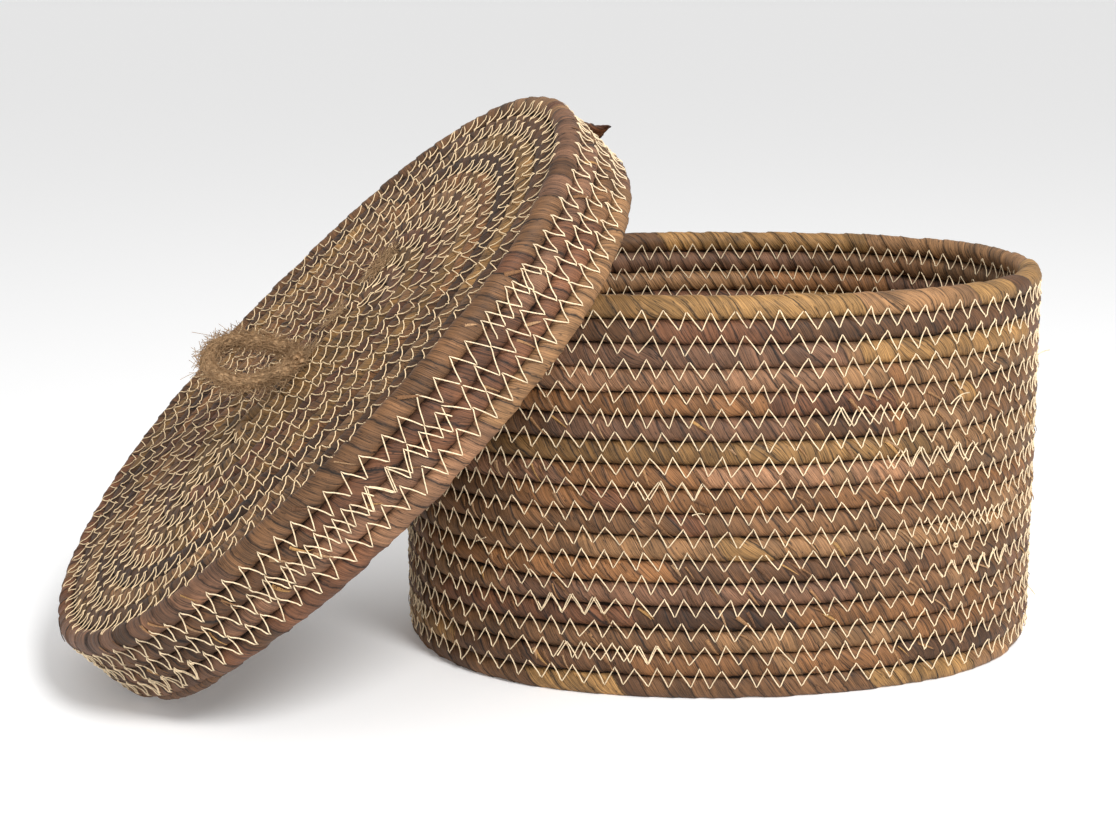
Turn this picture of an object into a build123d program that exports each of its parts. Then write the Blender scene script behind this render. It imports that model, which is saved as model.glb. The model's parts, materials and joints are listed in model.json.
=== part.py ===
"""Oval lidded storage basket, coiled from leaf-wrapped rope and sewn with cream thread.

The lid leans on the left end of the basket with its lower edge on the floor.
Millimetres, +Z up. X runs along the long axis, Y along the short one, and the
front is -Y. The origin is on the floor under the middle of the basket.
"""

import math
import os

from build123d import *

# rope and coil pitch
PITCH = 11.5  # from one course of rope to the next
ROPE_RADIUS = 5.6  # leaves a hair's breadth between neighbouring courses
FLAT_ROPE_RADIUS = 5.4  # the flat spirals are pulled a little tighter
FLOOR_FLATTENING = 0.3  # how far the rope under the base is pressed flat

# oval plan: every turn is a ring of four arcs round the same short straight strand
STRAND_HALF_LENGTH = 3.3 * PITCH  # half of the straight strand that each spiral starts from
WALL_BULGE = 0.8 * PITCH  # how much wider a full turn is than its end radius
TIGHTEST_SPACING = 0.92  # turns of a flat spiral run closest beside the ends
WALL_TURN = 10.5 * PITCH  # half width of a wall course, at the middle of its rope
BASE_EDGE_TURN = 10.4 * PITCH  # the lowest course tucks in a little
BASE_TURNS = 9  # between the middle strand and the lowest wall course
WALL_COURSES = 17  # with the lowest course and the rim
LID_TURNS = 10
LID_EDGE_TURN = 11.67 * PITCH  # the lid slips over the wall with 2 mm to spare
LID_SKIRT_COURSES = 3

# sewing thread, drawn as a plain ring lying in each groove
THREAD_RADIUS = 0.6
THREAD_GAP = 0.15

# how the lid leans
LEAN_HEADING = 17.0  # the lid leans a little towards the front, in degrees
LEAN_TILT = 46.0
LEAN_DISTANCE = 222.05  # from the middle of the basket to the middle of the lid's top
LEAN_HEIGHT = 156.6

# jute loop at the middle of the lid
CORD_RADIUS = 3.4
CORD_HOLE_RADIUS = 3.8
CORD_CLEARANCE = 0.3
KNOT_RADIUS = 5.0
KNOT_LENGTH = 13.0
LOOP_ROOT_LENGTH = 15.0
LOOP_ROOT_HEIGHT = 4.0  # of the loop's root above the lid
LOOP_LENGTH = 43.0
LOOP_HALF_WIDTH = 15.0
LOOP_RISE = 45.0  # the stiff loop stands this many degrees off the lid
LOOP_ROLL = 30.0  # and is turned this many degrees about its own length, far side up

# pointed rope end left sticking out of the lid's edge
TAIL_LENGTH = 26.0
TAIL_ROOT_RADIUS = 3.2
TAIL_TIP_RADIUS = 0.9
TAIL_HEADING = 12.0  # degrees round the right-hand end arc from the long axis

os.makedirs("parts", exist_ok=True)


def oval(turn, outwards=0.0, fullness=1.0):
    """Half length, half width and end radius of a turn, moved outwards by a distance.

    Fullness runs from nearly 0 beside the middle strand to 1 for a wall course.
    """
    end_radius = turn - WALL_BULGE * fullness
    half_length = STRAND_HALF_LENGTH + turn
    return half_length + outwards, turn + outwards, end_radius + outwards


def side_arc(half_length, half_width, end_radius):
    """Radius and centre height of the long flat arc that joins two end arcs smoothly."""
    end_centre = half_length - end_radius
    rise = half_width - end_radius
    radius = (end_centre**2 + half_width**2 - end_radius**2) / (2 * rise)
    return radius, half_width - radius


def turned_arc(section_at, centre_x, centre_y, radius, start, sweep):
    """Part of a ring: a section turned about an upright axis, between two angles in degrees."""
    arc = revolve(section_at(radius), Axis.Z, sweep)
    return Pos(centre_x, centre_y, 0) * Rot(0, 0, start) * arc


def oval_ring(section_at, half_length, half_width, end_radius):
    """One closed turn. section_at(radius) is its section, drawn that far from the upright axis."""
    end_centre = half_length - end_radius
    side_radius, side_centre = side_arc(half_length, half_width, end_radius)
    joint = math.degrees(math.atan2(-side_centre, end_centre))
    pieces = []
    for start, x in ((-joint, end_centre), (180 - joint, -end_centre)):
        pieces.append(turned_arc(section_at, x, 0, end_radius, start, 2 * joint))
    for start, y in ((joint, side_centre), (180 + joint, -side_centre)):
        pieces.append(turned_arc(section_at, 0, y, side_radius, start, 180 - 2 * joint))
    return pieces[0].fuse(*pieces[1:]).clean()


def middle_strand(height):
    """The straight length of rope that a flat spiral starts from, with round ends."""
    strand = Rot(0, 90, 0) * Cylinder(FLAT_ROPE_RADIUS, 2 * STRAND_HALF_LENGTH)
    for x in (-STRAND_HALF_LENGTH, STRAND_HALF_LENGTH):
        strand += Pos(x, 0, 0) * Sphere(FLAT_ROPE_RADIUS)
    return Pos(0, 0, height) * strand


def round_section(radius, height):
    """A function that draws a round section at a given distance from the upright axis."""
    def section_at(distance):
        return Plane.XZ * Pos(distance, height) * Circle(radius)

    return section_at


def pressed_section(radius, height):
    """A round section whose foot is pressed flat on the floor."""
    def section_at(distance):
        block = Pos(distance, radius) * Rectangle(3 * radius, 2 * radius)
        return Plane.XZ * (Pos(distance, height) * Circle(radius) & block)

    return section_at


def rope_turn(turn, height):
    return oval_ring(round_section(ROPE_RADIUS, height), *oval(turn))


def flat_turn(turn, height, fullness):
    return oval_ring(round_section(FLAT_ROPE_RADIUS, height), *oval(turn, 0, fullness))


def floor_turn(turn, radius, fullness=1.0):
    section = pressed_section(radius, radius - FLOOR_FLATTENING)
    return oval_ring(section, *oval(turn, 0, fullness))


def course_height(number):
    """Height of the middle of a wall course, counted from 1 at the floor."""
    return ROPE_RADIUS - FLOOR_FLATTENING + (number - 1) * PITCH


def groove_depth(spacing, rope_radius):
    """How far a thread lies from the line through two neighbouring ropes."""
    reach = rope_radius + THREAD_RADIUS + THREAD_GAP
    return math.sqrt(reach**2 - (spacing / 2) ** 2)


def flat_groove_depth(spacing):
    return groove_depth(TIGHTEST_SPACING * spacing, FLAT_ROPE_RADIUS)


def thread_ring(turn, outwards, height, fullness=1.0):
    return oval_ring(round_section(THREAD_RADIUS, height), *oval(turn, outwards, fullness))


def flat_threads(count, spacing, height):
    """One thread between each pair of turns of a flat spiral."""
    places = [n + 0.5 for n in range(count + 1)]
    return [thread_ring(n * spacing, 0, height, n / (count + 1)) for n in places]


def lid_spacing():
    return LID_EDGE_TURN / (LID_TURNS + 1)


def base_spacing():
    return BASE_EDGE_TURN / (BASE_TURNS + 1)


def lid_place():
    """From the lid's own frame, top at z = 0, to where it leans."""
    angle = math.radians(LEAN_HEADING)
    x, y = -LEAN_DISTANCE * math.cos(angle), -LEAN_DISTANCE * math.sin(angle)
    tip = Rot(0, 0, LEAN_HEADING) * Rot(0, -LEAN_TILT, 0) * Rot(0, 0, -LEAN_HEADING)
    return Pos(x, y, LEAN_HEIGHT) * tip


def base_turns():
    floor = Pos(0, 0, WALL_TURN) * Box(4 * WALL_TURN, 4 * WALL_TURN, 2 * WALL_TURN)
    parts = {"base_middle_strand": middle_strand(FLAT_ROPE_RADIUS - FLOOR_FLATTENING) & floor}
    for n in range(1, BASE_TURNS + 1):
        turn = n * base_spacing()
        fullness = n / (BASE_TURNS + 1)
        parts[f"base_turn_{n:02d}"] = floor_turn(turn, FLAT_ROPE_RADIUS, fullness)
    return parts


def base_stitching():
    """Threads on the inside of the base, out to the lowest wall course."""
    spacing = base_spacing()
    height = FLAT_ROPE_RADIUS - FLOOR_FLATTENING + flat_groove_depth(spacing)
    return flat_threads(BASE_TURNS, spacing, height + THREAD_GAP)


def wall_courses():
    parts = {"wall_course_01": floor_turn(BASE_EDGE_TURN, ROPE_RADIUS)}
    for number in range(2, WALL_COURSES):
        parts[f"wall_course_{number:02d}"] = rope_turn(WALL_TURN, course_height(number))
    parts["rim_course"] = rope_turn(WALL_TURN, course_height(WALL_COURSES))
    return parts


def wall_stitching():
    """One thread in the outer groove above each wall course below the rim."""
    depth = groove_depth(PITCH, ROPE_RADIUS)
    heights = [course_height(n) + PITCH / 2 for n in range(1, WALL_COURSES)]
    return [thread_ring(WALL_TURN, depth, height) for height in heights]


def cord_hole():
    """Where the loop's cord is pushed through the middle strand."""
    return Pos(0, 0, -ROPE_RADIUS) * Cylinder(CORD_HOLE_RADIUS, 4 * ROPE_RADIUS)


def lid_turns():
    parts = {"lid_middle_strand": middle_strand(-ROPE_RADIUS) - cord_hole()}
    for n in range(1, LID_TURNS + 1):
        turn = n * lid_spacing()
        parts[f"lid_turn_{n:02d}"] = flat_turn(turn, -ROPE_RADIUS, n / (LID_TURNS + 1))
    return parts


def lid_edge():
    parts = {"lid_corner_course": rope_turn(LID_EDGE_TURN, -ROPE_RADIUS)}
    for n in range(1, LID_SKIRT_COURSES):
        parts[f"lid_skirt_course_{n + 1:02d}"] = rope_turn(LID_EDGE_TURN, -ROPE_RADIUS - n * PITCH)
    parts["lid_rim_course"] = rope_turn(LID_EDGE_TURN, lid_rim_height())
    return parts


def lid_rim_height():
    return -ROPE_RADIUS - LID_SKIRT_COURSES * PITCH


def lid_top_stitching():
    spacing = lid_spacing()
    height = -ROPE_RADIUS + flat_groove_depth(spacing)
    return flat_threads(LID_TURNS, spacing, height + THREAD_GAP)


def lid_skirt_stitching():
    depth = groove_depth(PITCH, ROPE_RADIUS)
    heights = [-ROPE_RADIUS - (n + 0.5) * PITCH for n in range(LID_SKIRT_COURSES)]
    return [thread_ring(LID_EDGE_TURN, depth, height) for height in heights]


def lid_rope_tail():
    """Pointed end of the lid's rope, sewn down outside its edge and left sticking out."""
    half_length, _, end_radius = oval(LID_EDGE_TURN)
    outwards = ROPE_RADIUS + TAIL_ROOT_RADIUS + THREAD_GAP
    tail = Rot(-90, 0, 0) * Cone(TAIL_ROOT_RADIUS, TAIL_TIP_RADIUS, TAIL_LENGTH)
    place = Pos(half_length - end_radius, 0, lid_rim_height() + PITCH)
    return place * Rot(0, 0, TAIL_HEADING) * Pos(end_radius + outwards, 0, 0) * tail


def loop_cord():
    """The cord where it passes down through the lid."""
    length = 2 * ROPE_RADIUS
    return Pos(0, 0, -ROPE_RADIUS) * Cylinder(CORD_RADIUS, length)


def knot_depth():
    return 2 * ROPE_RADIUS + KNOT_RADIUS + CORD_CLEARANCE


def loop_knot():
    """The knot under the lid that stops the cord pulling through, as a short round barrel."""
    barrel = Cylinder(KNOT_RADIUS, KNOT_LENGTH)
    barrel = fillet(barrel.edges(), 0.45 * KNOT_RADIUS)
    return Pos(0, 0, -knot_depth()) * Rot(0, 0, LEAN_HEADING) * Rot(90, 0, 0) * barrel


def loop_handle():
    """Teardrop loop of jute cord, with the short roll of cord that it flops about."""
    root = Rot(90, 0, 0) * Cylinder(CORD_RADIUS, LOOP_ROOT_LENGTH)
    leg = 0.3 * LOOP_ROOT_LENGTH
    path = Spline(
        (0, leg),
        (0.33 * LOOP_LENGTH, 0.88 * LOOP_HALF_WIDTH),
        (0.74 * LOOP_LENGTH, LOOP_HALF_WIDTH),
        (LOOP_LENGTH, 0),
        (0.74 * LOOP_LENGTH, -LOOP_HALF_WIDTH),
        (0.33 * LOOP_LENGTH, -0.88 * LOOP_HALF_WIDTH),
        (0, -leg),
    )
    section = Plane(origin=path @ 0, z_dir=path % 0) * Circle(0.95 * CORD_RADIUS)
    loop = sweep(section, path)
    rise = Rot(0, 0, LEAN_HEADING + 180) * Rot(0, -LOOP_RISE, 0)
    return Pos(0, 0, LOOP_ROOT_HEIGHT) * rise * (root + Rot(-LOOP_ROLL, 0, 0) * loop)


def save(shape, name):
    if isinstance(shape, list):
        shape = Compound(children=shape)
    export_step(shape, f"parts/{name}.step")


for name, shape in {**base_turns(), **wall_courses()}.items():
    save(shape, name)
save(base_stitching(), "base_stitching")
save(wall_stitching(), "wall_stitching")

place = lid_place()
for name, shape in {**lid_turns(), **lid_edge()}.items():
    save(place * shape, name)
save([place * ring for ring in lid_top_stitching()], "lid_top_stitching")
save([place * ring for ring in lid_skirt_stitching()], "lid_skirt_stitching")
save(place * lid_rope_tail(), "lid_rope_tail")
save(place * loop_cord(), "loop_cord")
save(place * loop_knot(), "loop_knot")
save(place * loop_handle(), "loop_handle")
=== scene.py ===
"""Looks of the lidded storage basket: leaf-wrapped rope, sewing thread and jute cord.

Every rope is drawn along the same ovals as the CAD turns, with sizes taken from the frame.
Lengths in this script are millimetres until a mesh is made; the meshes are in metres.
"""

import json
import math

import bpy
import numpy as np
from mathutils import Matrix, Vector


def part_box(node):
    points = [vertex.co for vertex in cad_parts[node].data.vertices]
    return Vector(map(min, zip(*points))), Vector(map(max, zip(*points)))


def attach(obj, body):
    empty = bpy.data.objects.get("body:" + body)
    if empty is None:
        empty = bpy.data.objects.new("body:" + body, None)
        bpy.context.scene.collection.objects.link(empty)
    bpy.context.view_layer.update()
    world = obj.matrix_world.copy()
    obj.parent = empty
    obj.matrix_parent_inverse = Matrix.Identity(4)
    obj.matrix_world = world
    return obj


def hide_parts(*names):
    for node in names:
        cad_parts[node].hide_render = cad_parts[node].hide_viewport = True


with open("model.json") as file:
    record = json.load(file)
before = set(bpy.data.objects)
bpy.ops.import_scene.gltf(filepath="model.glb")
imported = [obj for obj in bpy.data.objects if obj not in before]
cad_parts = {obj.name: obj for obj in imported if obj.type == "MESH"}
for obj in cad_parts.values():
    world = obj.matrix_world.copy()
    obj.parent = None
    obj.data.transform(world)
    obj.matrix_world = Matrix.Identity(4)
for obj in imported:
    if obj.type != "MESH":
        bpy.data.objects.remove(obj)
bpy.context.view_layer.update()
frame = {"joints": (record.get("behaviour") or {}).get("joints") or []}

MM = 0.001


def box_mm(node):
    low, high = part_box(node)
    return np.array(low) / MM, np.array(high) / MM


# ---- sizes, from the frame

COURSES = 17
LID_TURNS = 10
BASE_TURNS = 9
SKIRT_COURSES = 3  # courses of the lid's edge below its corner course
BELOW_LID = 13  # the highest course that the closed lid leaves bare
TURNS_ON_RIM = 1.6  # outermost turns of the lid that rest on the basket's rim when it is closed

second_low, second_high = box_mm("wall_course_02")
third_low, _ = box_mm("wall_course_03")
PITCH = third_low[2] - second_low[2]
ROPE = (second_high[2] - second_low[2]) / 2  # radius
FIRST_HEIGHT = second_high[2] - ROPE - PITCH
WALL_HALF_WIDTH = second_high[1] - ROPE
STRAND_HALF_LENGTH = second_high[0] - second_high[1]
BULGE = 0.8 * PITCH  # how much wider a full turn is than its end radius
strand_low, strand_high = box_mm("base_middle_strand")
FLAT_ROPE = (strand_high[1] - strand_low[1]) / 2  # radius
BASE_EDGE_HALF_WIDTH = box_mm("wall_course_01")[1][1] - ROPE
BASE_SPACING = BASE_EDGE_HALF_WIDTH / (BASE_TURNS + 1)
BASE_HEIGHT = strand_high[2] - FLAT_ROPE
LID_HALF_WIDTH = 11.67 * PITCH  # of its corner course, to the middle of the rope
LID_SPACING = LID_HALF_WIDTH / (LID_TURNS + 1)

# the lid's own frame: its top is at z = 0 and its middle at the origin
SKIRT_SEAMS = [-ROPE - (row + 0.5) * PITCH for row in range(SKIRT_COURSES)]
flop = next(joint for joint in frame["joints"] if joint["name"] == "loop_flop")
LEAN_HEADING = math.atan2(-flop["axis"][0], flop["axis"][1])
LEAN_TILT = math.radians(46)
lid_strand_low, lid_strand_high = box_mm("lid_middle_strand")
lid_turn = (
    Matrix.Rotation(LEAN_HEADING, 4, "Z")
    @ Matrix.Rotation(-LEAN_TILT, 4, "Y")
    @ Matrix.Rotation(-LEAN_HEADING, 4, "Z")
)
lid_up = np.array(lid_turn.to_3x3() @ Vector((0, 0, 1)))
lid_middle = (lid_strand_low + lid_strand_high) / 2 + lid_up * ROPE
LID_PLACE = Matrix.Translation(Vector(lid_middle)) @ lid_turn
KNOT_PLACE = LID_PLACE @ Matrix.Rotation(LEAN_HEADING, 4, "Z")
LOOP_ROOT_HEIGHT = 4.0
LOOP_RISE = math.radians(45)
LOOP_PLACE = (
    LID_PLACE
    @ Matrix.Translation((0, 0, LOOP_ROOT_HEIGHT))
    @ Matrix.Rotation(LEAN_HEADING + math.pi, 4, "Z")
    @ Matrix.Rotation(-LOOP_RISE, 4, "Y")
)
PLACES = {"basket": Matrix.Identity(4), "lid": LID_PLACE, "lid_knot": KNOT_PLACE, "loop": LOOP_PLACE}

# ---- colours

TONES = {
    "ochre": (176, 134, 82),
    "gold": (190, 146, 90),
    "tan": (166, 125, 86),
    "pale_tan": (184, 147, 110),
    "brown": (128, 93, 64),
    "orange_brown": (150, 104, 66),
    "red_brown": (116, 76, 56),
    "dark_red": (90, 56, 46),
    "mauve": (124, 91, 72),
    "taupe": (142, 108, 77),
    "pink_tan": (172, 127, 95),
    "umber": (92, 66, 48),
    "dark": (72, 50, 37),
    "olive": (140, 106, 63),
    "olive_tan": (158, 121, 74),
}
DISPLAY_GAMMA = 2.2
COMMON_TONE = (140, 97, 62)  # all leaves share some of this
COMMON_SHARE = 0.25
LEAF_SHADE = 0.84

# for each course from the floor up: tones across the front from left to right
FRONT_TONES = (
    "brown gold tan gold ochre",
    "umber orange_brown brown umber brown",
    "brown tan tan brown taupe",
    "umber dark pink_tan dark_red brown",
    "brown mauve taupe brown mauve",
    "orange_brown dark umber brown umber",
    "brown taupe taupe tan taupe",
    "ochre ochre brown brown tan",
    "brown orange_brown tan orange_brown brown",
    "mauve pink_tan pink_tan tan pink_tan",
    "olive tan olive_tan tan taupe",
    "umber mauve umber mauve brown",
    "red_brown orange_brown red_brown tan tan",
    "mauve pink_tan pink_tan tan pink_tan",
    "brown mauve mauve tan mauve",
    "umber red_brown umber red_brown umber",
    "ochre gold ochre tan gold",
)
# for each course of the lid's edge from the top down: tones across the front from left to right
EDGE_TONES = (
    "umber umber brown mauve brown taupe mauve",
    "umber mauve red_brown umber mauve brown",
    "umber mauve umber red_brown orange_brown brown",
    "umber red_brown pink_tan pink_tan tan pink_tan",
)
# for each turn of the lid from the middle out
LID_RING_TONES = (
    "olive_tan ochre",
    "brown olive_tan",
    "umber brown olive",
    "ochre olive_tan olive",
    "brown olive red_brown",
    "umber dark brown",
    "ochre olive_tan tan",
    "red_brown brown orange_brown",
    "umber brown dark",
    "tan ochre taupe brown",
    "brown taupe umber",
)
# leaves of any place that the tones above leave open
WALL_MIX = "brown tan mauve umber taupe orange_brown red_brown ochre".split()
LID_MIX = "olive_tan brown brown olive umber tan mauve taupe red_brown".split()
EDGE_MIX = "brown umber mauve red_brown taupe".split()
TAIL_MIX = "dark_red red_brown umber".split()
RIM_END_MIX = "umber brown dark_red".split()
SLIVER_MIX = "pale_tan gold tan umber brown".split()
# shares of the way round an oval, between which a course is seen from the front
FRONT_START = 0.54
FRONT_LENGTH = 0.42
TONE_SPREAD = 0.15  # how much lighter or darker a leaf may be than its tone


def linear(colour):
    return (np.array(colour, dtype=float) / 255) ** DISPLAY_GAMMA


def leaf_tone(rng, name):
    tone = (1 - COMMON_SHARE) * linear(TONES[name]) + COMMON_SHARE * linear(COMMON_TONE)
    return LEAF_SHADE * tone * (1 + rng.uniform(-TONE_SPREAD, TONE_SPREAD))


def front_tone(tones, share):
    """The tone at a share of the way round a course, if that is across the front."""
    front = tones.split()
    across = (share - FRONT_START) / FRONT_LENGTH
    return front[int(across * len(front))] if 0 <= across < 1 else None


# ---- ovals and rope paths

RING_SAMPLES = 3000
SPIRAL_SAMPLES = 1500  # for each turn
SPIRAL_SHIFT = 0.17  # share of a turn over which a spiral moves out to its next turn
SMALLEST_TURN = 0.02
LAST_LAP = 0.57  # of a turn: how far past the right-hand end a spiral ends
STRAND_OVERHANG = 0.48  # of the spacing: how far the middle strand starts beyond the spiral's first point
FIRST_GROOVE_WIND = -0.41  # the first groove starts at the left-hand end, in front of the middle strand


def smooth_step(x):
    x = np.clip(x, 0, 1)
    return x * x * (3 - 2 * x)


def oval_points(half_width, fullness, share):
    """Points of an oval turn at shares (0 to 1) of its length, from the right-hand end round by the back.

    Each quarter is an arc round the end and a flatter arc along the side, which meet smoothly.
    """
    end_radius = half_width - BULGE * fullness
    end_centre = STRAND_HALF_LENGTH + half_width - end_radius
    rise = half_width - end_radius
    side_radius = (end_centre**2 + half_width**2 - end_radius**2) / (2 * rise)
    side_centre = half_width - side_radius
    joint = np.arctan2(-side_centre, end_centre)
    end_length = end_radius * joint
    quarter_length = end_length + side_radius * (math.pi / 2 - joint)
    quarters = np.mod(share, 1) * 4
    quarter = np.minimum(np.floor(quarters), 3)
    rest = quarters - quarter
    rest = np.where(quarter % 2 == 0, rest, 1 - rest)
    along = rest * quarter_length
    on_end = along < end_length
    angle = np.where(on_end, along / end_radius, joint + (along - end_length) / side_radius)
    radius = np.where(on_end, end_radius, side_radius)
    x = np.where(on_end, end_centre, 0) + radius * np.cos(angle)
    y = np.where(on_end, 0, side_centre) + radius * np.sin(angle)
    x = np.where((quarter == 1) | (quarter == 2), -x, x)
    y = np.where(quarter >= 2, -y, y)
    return np.stack([x, y], axis=-1)


def even_path(points, step, closed):
    """The same path with even steps, as points, distances along it and its whole length."""
    if closed:
        points = np.vstack([points, points[:1]])
    gaps = np.linalg.norm(np.diff(points, axis=0), axis=1)
    distance = np.concatenate([[0], np.cumsum(gaps)])
    count = max(8, round(distance[-1] / step))
    wanted = np.linspace(0, distance[-1], count, endpoint=not closed)
    columns = [np.interp(wanted, distance, points[:, axis]) for axis in range(points.shape[1])]
    return np.stack(columns, axis=-1), wanted, distance[-1]


def path_tangents(points, closed):
    if closed:
        tangents = np.roll(points, -1, axis=0) - np.roll(points, 1, axis=0)
    else:
        tangents = np.gradient(points, axis=0)
    return tangents / np.linalg.norm(tangents, axis=1, keepdims=True)


def path_outwards(points, closed):
    """Directions that point out of a flat path that runs round by the back."""
    tangents = path_tangents(points, closed)
    return np.stack([tangents[:, 1], -tangents[:, 0]], axis=-1)


def ring_path(half_width, step=1.0):
    share = np.linspace(0, 1, RING_SAMPLES, endpoint=False)
    points = oval_points(np.full_like(share, half_width), 1.0, share)
    return even_path(points, step, closed=True)


def spiral_turn(wind):
    """Turn number reached after winding so many times round; it steps outwards at the left-hand end."""
    whole = np.floor(wind)
    return whole + smooth_step((wind - whole - 0.5 + SPIRAL_SHIFT / 2) / SPIRAL_SHIFT)


def spiral_points(wind, turn, spacing, turns):
    return oval_points(turn * spacing, turn / (turns + 1), wind)


def spiral_path(spacing, turns, step):
    """The rope of a flat spiral, from just past the right-hand end of its middle strand.

    Past the last turn it lies on beside its own beginning of that turn, and ends there.
    """
    last_wind = turns + LAST_LAP
    wind = np.linspace(0, last_wind, int(last_wind * SPIRAL_SAMPLES))
    turn = np.clip(spiral_turn(wind), SMALLEST_TURN, turns)
    points = spiral_points(wind, turn, spacing, turns)
    start = points[:1] + np.array([[STRAND_OVERHANG * spacing, 0]])
    return even_path(np.vstack([start, points]), step, closed=False)


def groove_path(turns, spacing, last_wind=None):
    """The groove between the turns of a flat spiral, and then between it and the course round it."""
    wind = np.linspace(FIRST_GROOVE_WIND, last_wind or turns + 0.5, int(turns * SPIRAL_SAMPLES))
    turn = np.minimum(spiral_turn(wind), turns) + 0.5
    return even_path(spiral_points(wind, turn, spacing, turns), 1.0, closed=False)


def follow(path, along, closed):
    """Points on a path and its outward directions, at distances along it."""
    points, distance, length = path
    outwards = path_outwards(points, closed)
    if closed:
        points = np.vstack([points, points[:1]])
        outwards = np.vstack([outwards, outwards[:1]])
        distance = np.append(distance, length)
        along = np.mod(along, length)
    place = [np.interp(along, distance, points[:, axis]) for axis in (0, 1)]
    normal = [np.interp(along, distance, outwards[:, axis]) for axis in (0, 1)]
    return np.stack(place, axis=-1), np.stack(normal, axis=-1)


def with_height(flat, height):
    """Flat points or directions with a third coordinate."""
    return np.column_stack([flat, np.broadcast_to(height, (len(flat),))])


def smooth_noise(rng, distance, length, grain, closed=False):
    """Smooth random curve between -1 and 1 along a rope, with one knot every grain."""
    knots = max(4, round(length / grain))
    values = rng.uniform(-1, 1, knots + 1)
    if closed:
        values[-1] = values[0]
    place = distance / length * knots
    knot = np.minimum(place.astype(int), knots - 1)
    blend = smooth_step(place - knot)
    return values[knot] * (1 - blend) + values[knot + 1] * blend


# ---- meshes


def finish_mesh(name, points, faces, material, body):
    """Makes a piece from points in its body's frame and groups of faces with the same number of sides."""
    mesh = bpy.data.meshes.new(name)
    faces = [np.asarray(group, dtype=np.int32) for group in faces]
    sizes = np.concatenate([np.full(len(group), group.shape[1], dtype=np.int32) for group in faces])
    corners = np.concatenate([group.ravel() for group in faces])
    mesh.vertices.add(len(points))
    place = PLACES[body]
    coordinates = (np.asarray(points) * MM) @ np.array(place.to_3x3()).T + np.array(place.translation) * MM
    coordinates[:, 2] = np.maximum(coordinates[:, 2], 0)  # pressed flat where it stands on the floor
    mesh.vertices.foreach_set("co", coordinates.astype(np.float32).ravel())
    mesh.loops.add(len(corners))
    mesh.loops.foreach_set("vertex_index", corners)
    mesh.polygons.add(len(sizes))
    starts = np.concatenate([[0], np.cumsum(sizes)[:-1]]).astype(np.int32)
    mesh.polygons.foreach_set("loop_start", starts)
    mesh.polygons.foreach_set("use_smooth", np.ones(len(sizes), dtype=bool))
    mesh.update(calc_edges=True)
    mesh.validate()
    piece = bpy.data.objects.new(name, mesh)
    bpy.context.scene.collection.objects.link(piece)
    mesh.materials.append(material)
    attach(piece, body)
    return piece


def add_colours(piece, colours):
    layer = piece.data.color_attributes.new("leaf_colour", "FLOAT_COLOR", "POINT")
    four = np.ones((len(colours), 4), dtype=np.float32)
    four[:, :3] = colours
    layer.data.foreach_set("color", four.ravel())


def grid_faces(rings, around, closed):
    """Quads of a tube whose points are stored ring after ring."""
    ring = np.arange(rings if closed else rings - 1)[:, None]
    side = np.arange(around)[None, :]
    after = (ring + 1) % rings
    beside = (side + 1) % around
    quads = np.stack(
        [ring * around + side, after * around + side, after * around + beside, ring * around + beside],
        axis=-1,
    )
    return quads[..., ::-1].reshape(-1, 4)


def end_caps(rings, around):
    """The two faces that close the ends of such a tube."""
    ring = np.arange(around)
    return ring, (rings - 1) * around + ring[::-1]


def add_grid_uv(piece, name, across, along, closed):
    """UV map from two grids with a row for every ring and one more; the corners are those of grid_faces."""
    rings, around = (count - 1 for count in across.shape)
    grid = np.stack([across, along], axis=-1)
    ring = np.arange(rings if closed else rings - 1)[:, None]
    side = np.arange(around)[None, :]
    corners = [(ring, side + 1), (ring + 1, side + 1), (ring + 1, side), (ring, side)]
    both = np.stack([grid[r, s] for r, s in corners], axis=-2).reshape(-1, 2)
    flat = np.zeros((len(piece.data.loops), 2), dtype=np.float32)  # the end caps stay at zero
    flat[: len(both)] = both
    layer = piece.data.uv_layers.new(name=name)
    layer.data.foreach_set("uv", flat.ravel())


# ---- leaf-wrapped rope

PRESSED = 1.08  # neighbouring ropes are pressed into each other a little
GROOVE_SHADE_START = 0.8  # cosine of the angle off the groove at which painted shade and dirt start to darken the leaf
# how dark painted shade and dirt make the leaf deep in a groove
GROOVE_SHADE_AND_DIRT = 0.94
COURSE_TALL = (PRESSED * PITCH / 2, PRESSED * PITCH / 2)
LEAF_RUN = (4, 13)  # strips that one leaf lasts for: the fewest, and one more than the most
IN_TONE = 0.85  # share of leaves that have the tone of their place
ODD_STRIPS = 0.06  # share of single strips in another tone
STRIP_SHADES = 0.22  # how much strips of the same leaf differ
STRIP_DRIFT = 0.6  # how far strips wander along a rope, in strips
DRIFT_GRAIN = 2.2  # over how many strips
# a strip's surface, in millimetres
STRIP_LIFT = 0.35  # of its middle
STRIP_TWIST = 0.3  # of one edge over the other
STRIP_RIPPLE = 0.07
RIDGE_POWER = 1.6  # a strip rises towards the edge that laps over the next strip
RIDGE_MEAN = 0.45
# lengths over which a rope changes
THICKNESS_GRAIN = 30
SWAY_GRAIN = 45
RISE_GRAIN = 60
RISE_SHARE = 0.6  # how much less a rope sways up and down than sideways
UNEVENNESS = 0.035  # of a rope's thickness
THINNEST = 0.02  # share of its thickness that a rope keeps at a tapered end
UV_SPREAD = 40  # millimetres by which the fibres of different ropes differ in place


def leaf_colours(rng, strips, mix, tone_at=None):
    """One colour for every strip of leaf along a rope; a leaf lasts for several strips."""
    colours = np.zeros((strips, 3))
    strip = 0
    while strip < strips:
        run = int(rng.integers(*LEAF_RUN))
        tone = mix[rng.integers(len(mix))]
        if tone_at and rng.random() < IN_TONE:
            tone = tone_at(strip / strips) or tone
        colours[strip:strip + run] = leaf_tone(rng, tone)
        strip += run
    for strip in np.nonzero(rng.random(strips) < ODD_STRIPS)[0]:
        colours[strip] = leaf_tone(rng, mix[rng.integers(len(mix))])
    colours *= 1 + rng.uniform(-STRIP_SHADES, STRIP_SHADES, (strips, 1))
    return colours


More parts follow.
